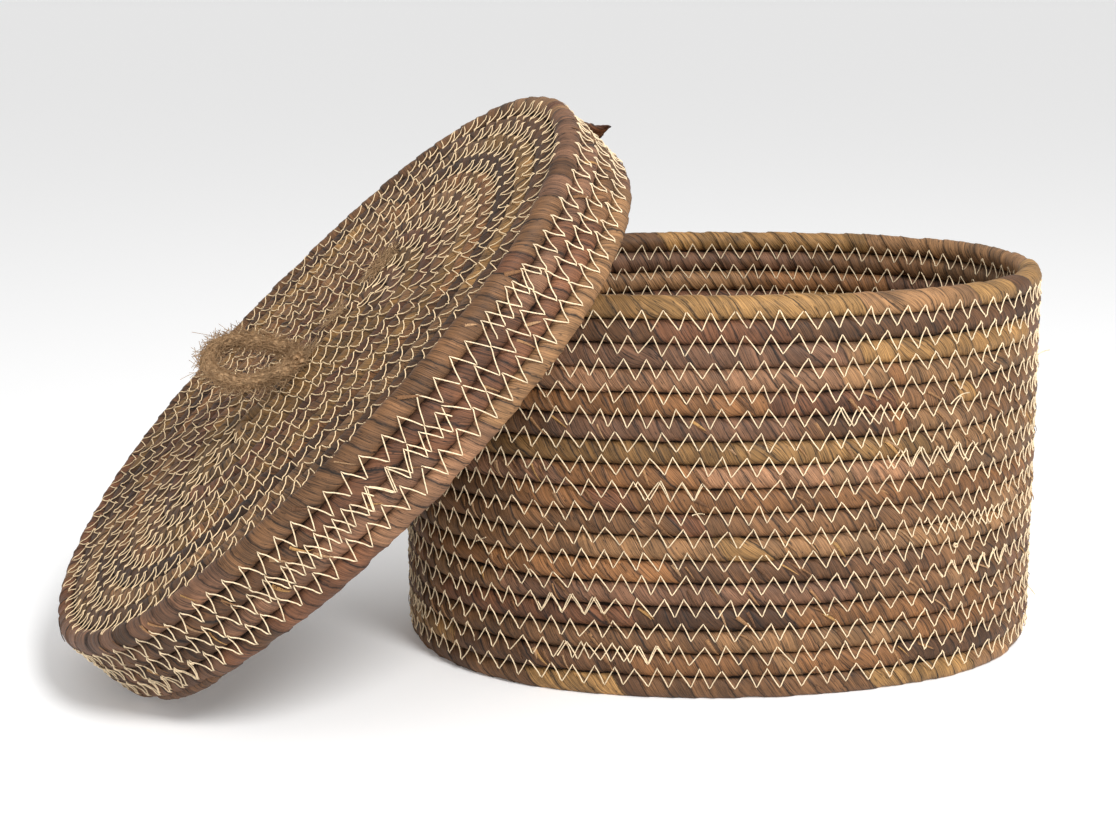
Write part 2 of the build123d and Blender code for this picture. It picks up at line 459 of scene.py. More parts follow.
def strip_phase(rng, distance, length, strips, leaf, closed):
    """How many strips a rope has passed at each ring, and once more at its end."""
    drift = STRIP_DRIFT * smooth_noise(rng, distance, length, DRIFT_GRAIN * leaf, closed)
    phase = distance / length * strips + drift
    return np.append(phase, phase[0] + strips if closed else 2 * phase[-1] - phase[-2])


def strip_relief(rng, strips, strip, part, ridge):
    """How far the leaf stands off the rope: every strip laps over the next, lifts, twists and ripples."""
    lift = rng.uniform(-STRIP_LIFT, STRIP_LIFT, strips)
    twist = rng.uniform(-STRIP_TWIST, STRIP_TWIST, strips)
    relief = ridge * (part**RIDGE_POWER - RIDGE_MEAN) + lift[strip] * (1 - (2 * part - 1) ** 4)
    relief += twist[strip] * np.sin(math.pi * part)
    relief += STRIP_RIPPLE * np.sin(2 * math.pi * (3 * part + lift[strip] * 3))
    return relief


def rope_thickness(rng, distance, length, ends, taper, closed):
    """Share of its full thickness that a rope has along its length."""
    thick = 1 + UNEVENNESS * smooth_noise(rng, distance, length, THICKNESS_GRAIN, closed)
    if ends[0]:
        thick *= np.clip(distance / ends[0], THINNEST, 1) ** 0.5
    if ends[1]:
        thick *= np.clip((length - distance) / ends[1], THINNEST, 1) ** taper
    return thick


def groove_shade_and_dirt(angle, grooves):
    """How light the leaf is painted at angles round a rope: painted shade and dirt make it dark in the
    grooves.
    """
    light = np.ones(len(angle))
    for side in grooves:
        near = np.maximum(np.cos(angle - math.radians(side)) - GROOVE_SHADE_START, 0)
        light -= GROOVE_SHADE_AND_DIRT * near / (1 - GROOVE_SHADE_START)
    return light


def wrapped_rope(name, path, height, body, slot, rng, mix, tone_at=None, closed=True,
                 wide=ROPE, tall=COURSE_TALL, around=24, leaf=11.0, strips_round=2, seam=-90.0,
                 ridge=0.5, ends=(0.0, 0.0), taper=0.5, sway=0.35, shade=1.0, grooves=(-90.0, 90.0)):
    """A rope of leaf strips wound slantwise round a core, along a flat path at a height.

    It is wide to either side of the path and tall (below, above) it. A strip covers about one leaf
    of length, and a round of the rope crosses strips_round of them. Directions round the rope go
    from outwards (0) through up (90): the point grid starts at the seam, and in the grooves the rope
    is pressed against its neighbours and painted dark with shade and dirt. The ends taper over lengths, the
    last one by a power.
    """
    points, distance, length = path
    rings = len(points)
    outwards = path_outwards(points, closed)
    below, above = tall
    strips = max(3, round(length / leaf))
    turn = np.linspace(0, 2 * math.pi, around + 1)
    angle = (turn + math.radians(seam))[:around]
    phase = strip_phase(rng, distance, length, strips, leaf, closed)
    grid_phase = phase[:, None] + strips_round * turn[None, :] / (2 * math.pi)
    strip = np.floor(grid_phase).astype(int)
    part = grid_phase - strip
    strip %= strips
    colours = leaf_colours(rng, strips, mix, tone_at) * shade
    relief = strip_relief(rng, strips, strip, part, ridge)[:rings, :around]
    thick = rope_thickness(rng, distance, length, ends, taper, closed)
    aside = sway * smooth_noise(rng, distance, length, SWAY_GRAIN, closed)
    rise = RISE_SHARE * sway * smooth_noise(rng, distance, length, RISE_GRAIN, closed)
    swell = thick[:, None] + relief / ROPE
    out = wide * swell * np.cos(angle)[None, :] + aside[:, None]
    rising = np.sin(angle)
    grid = np.empty((rings, around, 3))
    grid[..., :2] = points[:, None, :2] + out[..., None] * outwards[:, None, :]
    grid[..., 2] = height + (np.where(rising > 0, above, below) * rising * swell + rise[:, None])
    faces = [grid_faces(rings, around, closed)]
    if not closed:
        faces.append(np.stack(end_caps(rings, around)))
    piece = finish_mesh(name, grid.reshape(-1, 3), faces, LEAVES[slot], body)
    # the strip colours, darkened towards the grooves by painted shade and dirt
    painted = colours[strip[:rings, :around]] * groove_shade_and_dirt(angle, grooves)[None, :, None]
    add_colours(piece, painted.reshape(-1, 3))
    slant = strips_round * (length / strips) / (2 * math.pi * ROPE)
    scale = math.hypot(1, slant)
    travelled = np.append(distance, distance[-1] + length / rings)
    across = grid_phase * (length / strips) / scale
    along = (ROPE * turn[None, :] - slant * travelled[:, None]) / scale + UV_SPREAD * rng.random()
    add_grid_uv(piece, "fibre", across, along, closed)
    add_grid_uv(piece, "strip", grid_phase, 0 * grid_phase, closed)
    return piece


# ---- round cords and threads


def tube_grid(points, side_hint, radius, sides, closed=False, turn=None):
    """Ring of points round every point of a line; side_hint is any direction off the line."""
    tangents = path_tangents(points, closed)
    side = side_hint - (side_hint * tangents).sum(axis=1, keepdims=True) * tangents
    side /= np.linalg.norm(side, axis=1, keepdims=True)
    other = np.cross(tangents, side)
    angle = np.linspace(0, 2 * math.pi, sides, endpoint=False)[None, :]
    if turn is not None:
        angle = angle + turn[:, None]
    radius = np.broadcast_to(np.asarray(radius, dtype=float), (len(points),))
    spokes = np.cos(angle)[..., None] * side[:, None, :] + np.sin(angle)[..., None] * other[:, None, :]
    return points[:, None, :] + radius[:, None, None] * spokes


class Tubes:
    """Collects many tubes into one mesh."""

    def __init__(self):
        self.points = []
        self.quads = []
        self.caps = {}
        self.count = 0

    def add(self, line, side_hint, radius, sides=6, closed=False):
        line = np.asarray(line, dtype=float)
        side_hint = np.broadcast_to(np.asarray(side_hint, dtype=float), line.shape)
        rings = len(line)
        self.points.append(tube_grid(line, side_hint, radius, sides, closed).reshape(-1, 3))
        self.quads.append(grid_faces(rings, sides, closed) + self.count)
        if not closed:
            self.caps.setdefault(sides, []).extend(cap + self.count for cap in end_caps(rings, sides))
        self.count += rings * sides

    def piece(self, name, material, body, slot):
        faces = [np.concatenate(self.quads)]
        faces += [np.stack(group) for group in self.caps.values()]
        return finish_mesh(name, np.concatenate(self.points), faces, material, body)


UP = (0, 0, 1)
THREAD = 0.3  # radius of the sewing thread
FINE_THREAD = 0.25  # on the flat top of the lid
THREAD_LIFT = 0.75  # of the thread's middle above the rope it lies on
GROOVE_SHADOW_TUBE = 2.0  # radius of the near-black tube laid deep in a groove as painted shade
STITCH_PERIOD = 0.9 * PITCH
STITCH_DRIFT = 0.4 * STITCH_PERIOD  # how far stitches wander along a row
STITCH_DRIFT_GRAIN = 6 * STITCH_PERIOD
STITCH_DRIFT_START = 4 * STITCH_PERIOD  # from an open end to where they wander fully
TIP_SPACING = 0.1 * PITCH  # how unevenly the tips are spaced
TIP_LENGTHENING = (-0.2, 0.08)  # how much less or farther a tip may reach
SECOND_RUN_START = (0.0, 0.9)  # shares of the way round
SECOND_RUN_LENGTH = (0.02, 0.07)
STITCH_BEND = 0.3  # how far a stitch bows sideways
TIP_DEPTH = 0.9  # how far a stitch dips into the rope at its tips
TIP_LENGTH = 0.07  # share of a stitch over which it dips
LEG_SAMPLES = 8
WALL_BRIDGE = 0.94  # how far out the thread crosses a groove, as a share of the rope's radius
FLAT_BRIDGE = 0.95
# from the groove to the tips of the stitches
WALL_REACH = 0.42 * PITCH
FLAT_REACH = 0.5 * PITCH
SKIRT_REACH = 0.52 * PITCH
CORNER_REACH = 0.68 * PITCH


def thread_depth(off_groove, rope, bridge):
    """How far a thread lies outside the line through two ropes, at a distance from the groove."""
    off_rope = np.abs(PITCH / 2 - np.abs(off_groove))
    lying = np.sqrt(np.maximum((rope + THREAD_LIFT) ** 2 - off_rope**2, 0))
    return np.maximum(lying, bridge * rope)


def zigzag_legs(length, rng, rope, bridge, inner_reach, outer_reach, closed):
    """Zigzag along a groove: distances along it, across it and out of it.

    The reaches, from the groove to the tips on either side, are functions of the distance along it.
    """
    legs = 2 * max(2, round(length / STITCH_PERIOD))
    tips = np.arange(legs + 1) / legs * length
    drift = STITCH_DRIFT * smooth_noise(rng, tips, length, STITCH_DRIFT_GRAIN, closed)
    if not closed:
        drift *= smooth_step(np.minimum(tips, length - tips) / STITCH_DRIFT_START)
    tips[1:-1] += rng.uniform(-TIP_SPACING, TIP_SPACING, legs - 1)
    tips += drift
    outer = np.arange(legs + 1) % 2 == 1
    reach = np.where(outer, outer_reach(tips), -inner_reach(tips))
    reach *= 1 + rng.uniform(*TIP_LENGTHENING, legs + 1)
    if closed:
        reach[-1] = reach[0]
    leg, sample = np.divmod(np.arange(legs * LEG_SAMPLES), LEG_SAMPLES)
    part = sample / LEG_SAMPLES
    along = tips[leg] * (1 - part) + tips[leg + 1] * part
    off = reach[leg] * (1 - part) + reach[leg + 1] * part
    off += STITCH_BEND * np.sin(math.pi * part) * rng.uniform(-1, 1, legs)[leg]
    at_tip = np.exp(-((np.minimum(part, 1 - part) / TIP_LENGTH) ** 2))
    return along, off, thread_depth(off, rope, bridge) - TIP_DEPTH * at_tip


def same_reach(reach):
    return lambda along: np.full_like(along, reach)


def wall_zigzag(tubes, half_width, height, rng, reach, inside=False, span=None):
    """One row of zigzag stitches over the groove between two courses of a wall.

    A span, as two shares of the way round, is a second run of stitches sewn over part of the row.
    """
    path = ring_path(half_width)
    both = same_reach(reach)
    along, off, out = zigzag_legs(path[2], rng, ROPE, WALL_BRIDGE, both, both, True)
    centre, normal = follow(path, along + rng.random() * STITCH_PERIOD, True)
    if inside:
        out = THREAD - out
    line = with_height(centre + normal * out[:, None], height + off)
    hint = with_height(normal, 0.0)
    if span is None:
        tubes.add(line, hint, THREAD, closed=True)
        return
    first, last = (int(share * len(line)) for share in span)
    line[:, :2] += THREAD * normal
    tubes.add(line[first:last], hint[first:last], THREAD)


def wall_stitching(name, seams, half_width, reach, seed, body, inside=False, runs=None):
    """The zigzag over every seam of a wall, with short second runs here and there along each."""
    tubes = Tubes()
    for number, height in enumerate(seams):
        rng = np.random.default_rng(seed + number)
        wall_zigzag(tubes, half_width, height, rng, reach, inside)
        for _ in range(runs[number] if runs else 0):
            start = rng.uniform(*SECOND_RUN_START)
            span = (start, start + rng.uniform(*SECOND_RUN_LENGTH))
            wall_zigzag(tubes, half_width, height, rng, reach, span=span)
    return tubes.piece(name, cotton, body, "sewing_thread")


def flat_zigzag(tubes, path, height, rng, outer_reach=same_reach(FLAT_REACH), upside=1.0):
    """Zigzag stitches along the groove of a flat spiral."""
    reaches = (same_reach(FLAT_REACH), outer_reach)
    along, off, out = zigzag_legs(path[2], rng, FLAT_ROPE, FLAT_BRIDGE, *reaches, False)
    centre, normal = follow(path, along, False)
    line = with_height(centre + normal * off[:, None], height + upside * out)
    tubes.add(line, UP, FINE_THREAD)


# ---- materials


def node(tree, kind, **values):
    made = tree.nodes.new(kind)
    for name, value in values.items():
        setattr(made, name, value)
    return made


def set_inputs(made, **values):
    """Sets a node's inputs; an underscore in a keyword stands for a space."""
    for name, value in values.items():
        made.inputs[name.replace("_", " ")].default_value = value


def new_material(name):
    material = bpy.data.materials.new(name)
    material.use_nodes = True
    return material, material.node_tree, material.node_tree.nodes["Principled BSDF"]


def shaded(tree, colour, value, stops):
    """The colour, made darker or lighter by a ramp over a value."""
    ramp = node(tree, "ShaderNodeValToRGB")
    elements = ramp.color_ramp.elements
    while len(elements) < len(stops):
        elements.new(0.5)
    for element, (position, brightness) in zip(elements, stops):
        element.position = position
        element.color = (brightness, brightness, brightness, 1)
    tree.links.new(value, ramp.inputs["Fac"])
    mix = node(tree, "ShaderNodeMix", data_type="RGBA", blend_type="MULTIPLY")
    set_inputs(mix, Factor=1)
    tree.links.new(colour, mix.inputs["A"])
    tree.links.new(ramp.outputs["Color"], mix.inputs["B"])
    return mix.outputs["Result"]


def fibre_noise(tree, uv, across, along, detail=5.0):
    """Noise drawn out along the fibres; across and along are grains per millimetre."""
    mapping = node(tree, "ShaderNodeMapping")
    set_inputs(mapping, Scale=(across, along, 1))
    noise = node(tree, "ShaderNodeTexNoise", noise_dimensions="2D")
    set_inputs(noise, Scale=1, Detail=detail, Roughness=0.6)
    tree.links.new(uv, mapping.inputs["Vector"])
    tree.links.new(mapping.outputs["Vector"], noise.inputs["Vector"])
    return noise.outputs["Fac"]


def even_noise(tree, scale, detail=2.0):
    """Noise with the same grain in all directions; the scale is in grains per metre."""
    place = node(tree, "ShaderNodeTexCoord").outputs["Object"]
    noise = node(tree, "ShaderNodeTexNoise")
    set_inputs(noise, Scale=scale, Detail=detail)
    tree.links.new(place, noise.inputs["Vector"])
    return noise.outputs["Fac"]


def add_bump(tree, shader, value, strength, distance):
    """Bump on top of any that the shader has already; the distance is in metres."""
    bump = node(tree, "ShaderNodeBump")
    set_inputs(bump, Strength=strength, Distance=distance)
    tree.links.new(value, bump.inputs["Height"])
    for earlier in shader.inputs["Normal"].links:
        tree.links.new(earlier.from_socket, bump.inputs["Normal"])
    tree.links.new(bump.outputs["Normal"], shader.inputs["Normal"])


RAGGED_EDGE = 0.14  # how far a strip's edge wanders, as a share of its width


def strip_part(tree, uv):
    """How far across its strip of leaf a place is, 0 to 1, with a little ragged edge."""
    strip = node(tree, "ShaderNodeUVMap", uv_map="strip").outputs["UV"]
    split = node(tree, "ShaderNodeSeparateXYZ")
    ragged = node(tree, "ShaderNodeMath", operation="MULTIPLY_ADD")
    ragged.inputs[1].default_value = RAGGED_EDGE
    part = node(tree, "ShaderNodeMath", operation="FRACT")
    tree.links.new(strip, split.inputs["Vector"])
    tree.links.new(fibre_noise(tree, uv, 0.3, 0.25, 3.0), ragged.inputs[0])
    tree.links.new(split.outputs["X"], ragged.inputs[2])
    tree.links.new(ragged.outputs["Value"], part.inputs[0])
    return part.outputs["Value"]


# where one strip laps over the next a dark line is painted: shade in the crease, and dirt
LAP_SHADE_AND_DIRT_STOPS = ((0.0, 0.45), (0.03, 0.1), (0.07, 0.75), (0.16, 1.0), (0.92, 1.0), (1.0, 0.7))


def leaf_material(name, roughness=0.62, gloss=0.35, contrast=1.0):
    """Dried leaf: colour of the strip, long fibres, darker specks and cracks, and a low waxy shine."""
    material, tree, shader = new_material(name)
    colour = node(tree, "ShaderNodeAttribute", attribute_name="leaf_colour").outputs["Color"]
    uv = node(tree, "ShaderNodeUVMap", uv_map="fibre").outputs["UV"]
    fine = fibre_noise(tree, uv, 2.6, 0.05)
    wide = fibre_noise(tree, uv, 0.55, 0.03, 3.0)
    patches = even_noise(tree, 70, 4)
    specks = fibre_noise(tree, uv, 1.2, 0.35, 6.0)
    cracks = fibre_noise(tree, uv, 0.42, 0.02, 2.0)
    fine_stops = ((0.3, 1 - 0.72 * contrast), (0.5, 1.0), (0.72, 1 + 0.4 * contrast))
    colour = shaded(tree, colour, fine, fine_stops)
    colour = shaded(tree, colour, wide, ((0.3, 0.68), (0.55, 1.0), (0.75, 1.22)))
    colour = shaded(tree, colour, patches, ((0.35, 0.74), (0.5, 1.0), (0.68, 1.12)))
    colour = shaded(tree, colour, specks, ((0.27, 0.45), (0.36, 1.0)))
    colour = shaded(tree, colour, cracks, ((0.482, 1.0), (0.5, 0.15), (0.518, 1.0)))
    # painted shade and dirt: a dark line along the crease where one strip laps over the next
    colour = shaded(tree, colour, strip_part(tree, uv), LAP_SHADE_AND_DIRT_STOPS)
    tree.links.new(colour, shader.inputs["Base Color"])
    rough = node(tree, "ShaderNodeMapRange")
    set_inputs(rough, To_Min=roughness - 0.12, To_Max=roughness + 0.16)
    tree.links.new(fine, rough.inputs["Value"])
    tree.links.new(rough.outputs["Result"], shader.inputs["Roughness"])
    set_inputs(shader, Specular_IOR_Level=gloss)
    add_bump(tree, shader, fine, 0.55, 0.0004)
    add_bump(tree, shader, wide, 0.5, 0.001)
    return material


def torn_leaf_material(name):
    """Loose strips of leaf: the colour of the strip with fine fibres in it."""
    material, tree, shader = new_material(name)
    colour = node(tree, "ShaderNodeAttribute", attribute_name="leaf_colour").outputs["Color"]
    fibre = even_noise(tree, 1500)
    tree.links.new(shaded(tree, colour, fibre, ((0.3, 0.6), (0.6, 1.15))), shader.inputs["Base Color"])
    set_inputs(shader, Roughness=0.7, Specular_IOR_Level=0.3)
    add_bump(tree, shader, fibre, 0.5, 0.0003)
    return material


def thread_material(name, tone, roughness=0.8, grain=900.0):
    """Cotton and jute, and the near-black painted shade in the grooves: fine specks of darker fibre and a
    soft bump.
    """
    material, tree, shader = new_material(name)
    base = node(tree, "ShaderNodeRGB").outputs[0]
    base.default_value = (*linear(tone), 1)
    fibre = even_noise(tree, grain, 4)
    colour = shaded(tree, base, fibre, ((0.3, 0.72), (0.6, 1.08)))
    colour = shaded(tree, colour, even_noise(tree, 60), ((0.3, 0.82), (0.7, 1.08)))
    tree.links.new(colour, shader.inputs["Base Color"])
    set_inputs(shader, Roughness=roughness, Specular_IOR_Level=0.2)
    add_bump(tree, shader, fibre, 0.7, 0.0003)
    return material


LEAVES = {
    "wall_leaf": leaf_material("wall_leaf"),
    "base_leaf": leaf_material("base_leaf", roughness=0.7, gloss=0.25),
    "rim_leaf": leaf_material("rim_leaf"),
    "lid_leaf": leaf_material("lid_leaf"),
    "lid_skirt_leaf": leaf_material("lid_skirt_leaf"),
    "lid_rim_leaf": leaf_material("lid_rim_leaf", contrast=0.8),
    "dark_leaf": leaf_material("dark_leaf", roughness=0.55),
}
sliver_leaf = torn_leaf_material("torn_leaf")
# painted shade: near-black paint for the tubes laid deep in the grooves
groove_shadow_paint = thread_material("groove_shadow_paint", (34, 23, 16))
cotton = thread_material("sewing_thread", (246, 222, 184))
fine_cotton = thread_material("fine_sewing_thread", (246, 217, 174))
jute = thread_material("jute", (176, 144, 109), 0.9, 700.0)

# ---- basket


def course_height(number):
    return FIRST_HEIGHT + (number - 1) * PITCH


def course_half_width(number):
    return BASE_EDGE_HALF_WIDTH if number == 1 else WALL_HALF_WIDTH


WALL_SEAMS = [course_height(number) + PITCH / 2 for number in range(1, COURSES)]
WALL_STRIP = (10.0, 13.0)  # lengths of rope that a strip covers
LID_EDGE_STRIP = (12.0, 16.0)
SPIRAL_TAPERS = (6.0, 16.0)  # lengths over which a spiral's ends get thin
SECOND_RUNS = [2 if number <= BELOW_LID else 0 for number in range(1, COURSES)]


def wall_grooves(number):
    """Directions in which a course lies against others; the first has the floor's last turn beside it."""
    if number == 1:
        return 180.0, 90.0
    return (-90.0,) if number == COURSES else (-90.0, 90.0)


def build_wall():
    for number in range(1, COURSES + 1):
        rng = np.random.default_rng(100 + number)
        rim = number == COURSES
        name = "rim_course" if rim else f"wall_course_{number:02d}"
        piece = wrapped_rope(
            f"{name}_rope", ring_path(course_half_width(number)), course_height(number), "basket",
            "rim_leaf" if rim else "wall_leaf", rng, WALL_MIX,
            lambda share: front_tone(FRONT_TONES[number - 1], share),
            leaf=rng.uniform(*WALL_STRIP), sway=0.3 if number > 1 else 0.1,
            grooves=wall_grooves(number), tall=(PRESSED * PITCH / 2, ROPE - 0.5) if rim else COURSE_TALL,
        )
        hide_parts(name)


def build_wall_stitching():
    sewing = (WALL_SEAMS, WALL_HALF_WIDTH, WALL_REACH)
    piece = wall_stitching("wall_stitching_outside", *sewing, 301, "basket", runs=SECOND_RUNS)
    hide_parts("wall_stitching")
    wall_stitching("wall_stitching_inside", *sewing, 331, "basket", inside=True)


def build_spiral(name, spacing, turns, step, height, body, seed, mix, tone_at=None, **looks):
    """The rope of a flat spiral, in place of its middle strand and turns."""
    piece = wrapped_rope(
        f"{name}_spiral_rope", spiral_path(spacing, turns, step), height, body, f"{name}_leaf",
        np.random.default_rng(seed), mix, tone_at, closed=False, seam=180.0,
        wide=PRESSED * spacing / 2, ends=SPIRAL_TAPERS, grooves=(0.0, 180.0), **looks,
    )
    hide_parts(f"{name}_middle_strand", *[f"{name}_turn_{n:02d}" for n in range(1, turns + 1)])


def build_base():
    # painted shade: shade=0.72 darkens the leaf of the floor inside the basket, standing in for the shade
    # of its walls
    build_spiral("base", BASE_SPACING, BASE_TURNS, 1.6, BASE_HEIGHT, "basket", 41, WALL_MIX, around=16,
                 tall=(FLAT_ROPE - 0.3, FLAT_ROPE - 0.3), sway=0.0, ridge=0.35, shade=0.72)
    tubes = Tubes()
    flat_zigzag(tubes, groove_path(BASE_TURNS, BASE_SPACING), BASE_HEIGHT, np.random.default_rng(42))
    piece = tubes.piece("base_stitching_inside", cotton, "basket", "sewing_thread")
    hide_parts("base_stitching")


# ---- painted shade: near-black tubes deep in the grooves


def build_groove_shadow_tube(name, heights, half_width, turns, spacing, flat_height, body, slot):
    """Painted shade: near-black tubes deep in the grooves, where two wrapped ropes are pressed together."""
    tubes = Tubes()
    ring = ring_path(half_width, 4.0)[0]
    for height in heights:
        tubes.add(with_height(ring, height), UP, GROOVE_SHADOW_TUBE, closed=True)
    spiral = groove_path(turns, spacing)[0][::3]
    tubes.add(with_height(spiral, flat_height), UP, GROOVE_SHADOW_TUBE)
    tubes.piece(name, groove_shadow_paint, body, slot)


def build_groove_shadow_tubes():
    build_groove_shadow_tube("basket_groove_shadow_tube", WALL_SEAMS, WALL_HALF_WIDTH, BASE_TURNS, BASE_SPACING,
                       BASE_HEIGHT, "basket", "wall_leaf")
    build_groove_shadow_tube("lid_groove_shadow_tube", SKIRT_SEAMS, LID_HALF_WIDTH, LID_TURNS, LID_SPACING,
                       -ROPE, "lid", "lid_leaf")


# ---- lid

OVER_CORNER = 0.95  # share of the way round over which the last row's stitches reach the corner course
TONE_SHUFFLE = 7919  # any large number: picks one of a turn's tones from the place along the rope


def lid_ring_tone(share):
    """The tone at a share of the way along the lid's spiral, which changes from turn to turn."""
    turns = np.arange(LID_TURNS + 1)
    lengths = 4 * STRAND_HALF_LENGTH + 2 * math.pi * LID_SPACING * turns
    lengths[0] /= 2
    ends = np.cumsum(lengths) / lengths.sum()
    tones = LID_RING_TONES[min(int(np.searchsorted(ends, share)), LID_TURNS)].split()
    return tones[int(share * TONE_SHUFFLE) % len(tones)]


def build_lid_top():
    build_spiral("lid", LID_SPACING, LID_TURNS, 1.0, -ROPE, "lid", 51, LID_MIX, lid_ring_tone,
                 tall=(FLAT_ROPE - 0.5, FLAT_ROPE), sway=0.1, shade=0.8)
    tubes = Tubes()
    groove = groove_path(LID_TURNS, LID_SPACING)
    last_round = OVER_CORNER * (4 * STRAND_HALF_LENGTH + 2 * math.pi * LID_HALF_WIDTH)

    def outer_reach(along):
        return np.where(along > groove[2] - last_round, CORNER_REACH, FLAT_REACH)

    flat_zigzag(tubes, groove, -ROPE, np.random.default_rng(52), outer_reach)
    under = groove_path(LID_TURNS, LID_SPACING, LID_TURNS - TURNS_ON_RIM)
    flat_zigzag(tubes, under, -ROPE, np.random.default_rng(53), upside=-1.0)
    piece = tubes.piece("lid_top_stitches", fine_cotton, "lid", "sewing_thread")
    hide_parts("lid_top_stitching")


def build_lid_edge():
    courses = [
        ("lid_corner_course", "lid_skirt_leaf", (180.0, -90.0)),
        ("lid_skirt_course_02", "lid_skirt_leaf", (90.0, -90.0)),
        ("lid_skirt_course_03", "lid_skirt_leaf", (90.0, -90.0)),
        ("lid_rim_course", "lid_rim_leaf", (90.0,)),
    ]
    for number, (name, slot, grooves) in enumerate(courses):
        rng = np.random.default_rng(600 + number)
        piece = wrapped_rope(
            f"{name}_rope", ring_path(LID_HALF_WIDTH), -ROPE - number * PITCH, "lid", slot,
            rng, EDGE_MIX, lambda share: front_tone(EDGE_TONES[number], share),
            leaf=rng.uniform(*LID_EDGE_STRIP), strips_round=1, sway=0.2, grooves=grooves,
        )
        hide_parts(name)


def build_lid_edge_stitching():
    seams = (SKIRT_SEAMS, LID_HALF_WIDTH)
    runs = [3] * SKIRT_COURSES
    piece = wall_stitching("lid_skirt_zigzag_outside", *seams, SKIRT_REACH, 620, "lid", runs=runs)
    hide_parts("lid_skirt_stitching")
    wall_stitching("lid_skirt_zigzag_inside", *seams, WALL_REACH, 640, "lid", inside=True)


TAIL_LENGTH = 26.0
TAIL_HEADING = math.radians(12)
TAIL_PRESSED = 0.8  # how far it is pressed into the edge
TAIL_START = 0.5  # shares of its length, from the point of the edge in that heading
TAIL_END = -0.44
TAIL_BEND = 0.4  # where its end starts to turn away
TAIL_FLICK = 8.5  # how far the pointed end turns away from the edge


def build_rope_tail():
    """The pointed rope end sewn to the lid's edge at the upper right; its tip turns outwards."""
    end_radius = LID_HALF_WIDTH - BULGE
    end_centre = STRAND_HALF_LENGTH + LID_HALF_WIDTH - end_radius
    along = np.linspace(TAIL_START, TAIL_END, 40)
    flick = TAIL_FLICK * smooth_step((TAIL_BEND - along) / (TAIL_BEND - TAIL_END))
    out = end_radius + ROPE - TAIL_PRESSED + flick
    direction = np.array([math.cos(TAIL_HEADING), math.sin(TAIL_HEADING)])
    sideways = np.array([-direction[1], direction[0]])
    points = np.array([end_centre, 0]) + out[:, None] * direction + TAIL_LENGTH * along[:, None] * sideways
    piece = wrapped_rope(
        "lid_rope_tail_end", even_path(points, 0.6, closed=False), -ROPE - (SKIRT_COURSES - 1) * PITCH,
        "lid", "dark_leaf", np.random.default_rng(71), TAIL_MIX, closed=False, around=18, wide=4.6,
        tall=(7.0, 7.0), leaf=9.0, ends=(4.0, 21.0), taper=1.15, sway=0.0, ridge=0.6, grooves=(),
    )
    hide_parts("lid_rope_tail")


RIM_END = (0.59, 0.65)  # shares of the way round the lid's rim
RIM_END_RADIUS = 3.2
RIM_END_DROP = 3.4  # of its middle below the middle of the lid's rim


def build_rim_end():
    """Where the lid's rope ends: it tapers off under the rim at the lower left of the front."""
    points = ring_path(LID_HALF_WIDTH + RIM_END_RADIUS)[0]
    first, last = (int(share * len(points)) for share in RIM_END)
    wrapped_rope(
        "lid_rim_rope_end", even_path(points[first:last], 0.8, closed=False),
        -ROPE - SKIRT_COURSES * PITCH - RIM_END_DROP, "lid", "lid_rim_leaf", np.random.default_rng(72),
        RIM_END_MIX, closed=False, around=18, strips_round=1, wide=RIM_END_RADIUS,
        tall=(RIM_END_RADIUS, RIM_END_RADIUS), leaf=9.0, ends=(16.0, 10.0), sway=0.0, grooves=(90.0,),
    )


# ---- jute loop

CORD = 3.4  # radius
STRANDS = 3
STRAND_SHARE = 0.56  # a strand's radius, as a share of the cord's
STRAND_UNEVENNESS = 0.08  # of its radius
STRAND_GRAIN = 2.5
LAY = 11.0  # length in which the strands go once round each other
LOOP_LENGTH = 43.0
LOOP_HALF_WIDTH = 15.0
LOOP_ROOT_LENGTH = 15.0
LOOP_ROLL = math.radians(30)
HAIR = 0.13  # radius
HAIR_HINT = (0.3, 0.5, 0.8)  # a direction that no hair runs along
# for each tuft: where it starts and ends along the lid, how far aside it is, and a number of hairs
TUFTS = ((-6, 10, 0.0, 90), (56, 68, 4.0, 150), (24, 32, 6.0, 40))
TUFT_SPREAD = 3.2
KNOT_CORD = 2.7
KNOT_HALF_WIDTH = 3.465
KNOT_RADIUS = 2.1
KNOT_DEPTH = 2 * ROPE + 5.3  # of its middle below the lid's top


def smooth_line(points, count):
    """A smooth curve through a few points (Catmull-Rom)."""
    points = np.asarray(points, dtype=float)
    padded = np.vstack([2 * points[0] - points[1], points, 2 * points[-1] - points[-2]])
    place = np.linspace(0, len(points) - 1, count)
    start = np.minimum(place.astype(int), len(points) - 2)
    t = (place - start)[:, None]
    a, b, c, d = (padded[start + n] for n in range(4))
    return 0.5 * (2 * b + (c - a) * t + (2 * a - 5 * b + 4 * c - d) * t**2 + (3 * b - a - 3 * c + d) * t**3)


def twisted_cord(tubes, line, hint, radius, rng):
    """Strands laid round each other along a line."""
    line, distance, length = even_path(np.asarray(line, dtype=float), 0.5, closed=False)
    hint = np.broadcast_to(np.asarray(hint, dtype=float), line.shape)
    strand_radius = radius * STRAND_SHARE
    for strand in range(STRANDS):
        turn = 2 * math.pi * (strand / STRANDS + distance / LAY)
        middle = tube_grid(line, hint, radius - strand_radius, 1, turn=turn)[:, 0]
        wobble = 1 + STRAND_UNEVENNESS * smooth_noise(rng, distance, length, STRAND_GRAIN)
        tubes.add(middle, hint, strand_radius * wobble, 8)
    return line


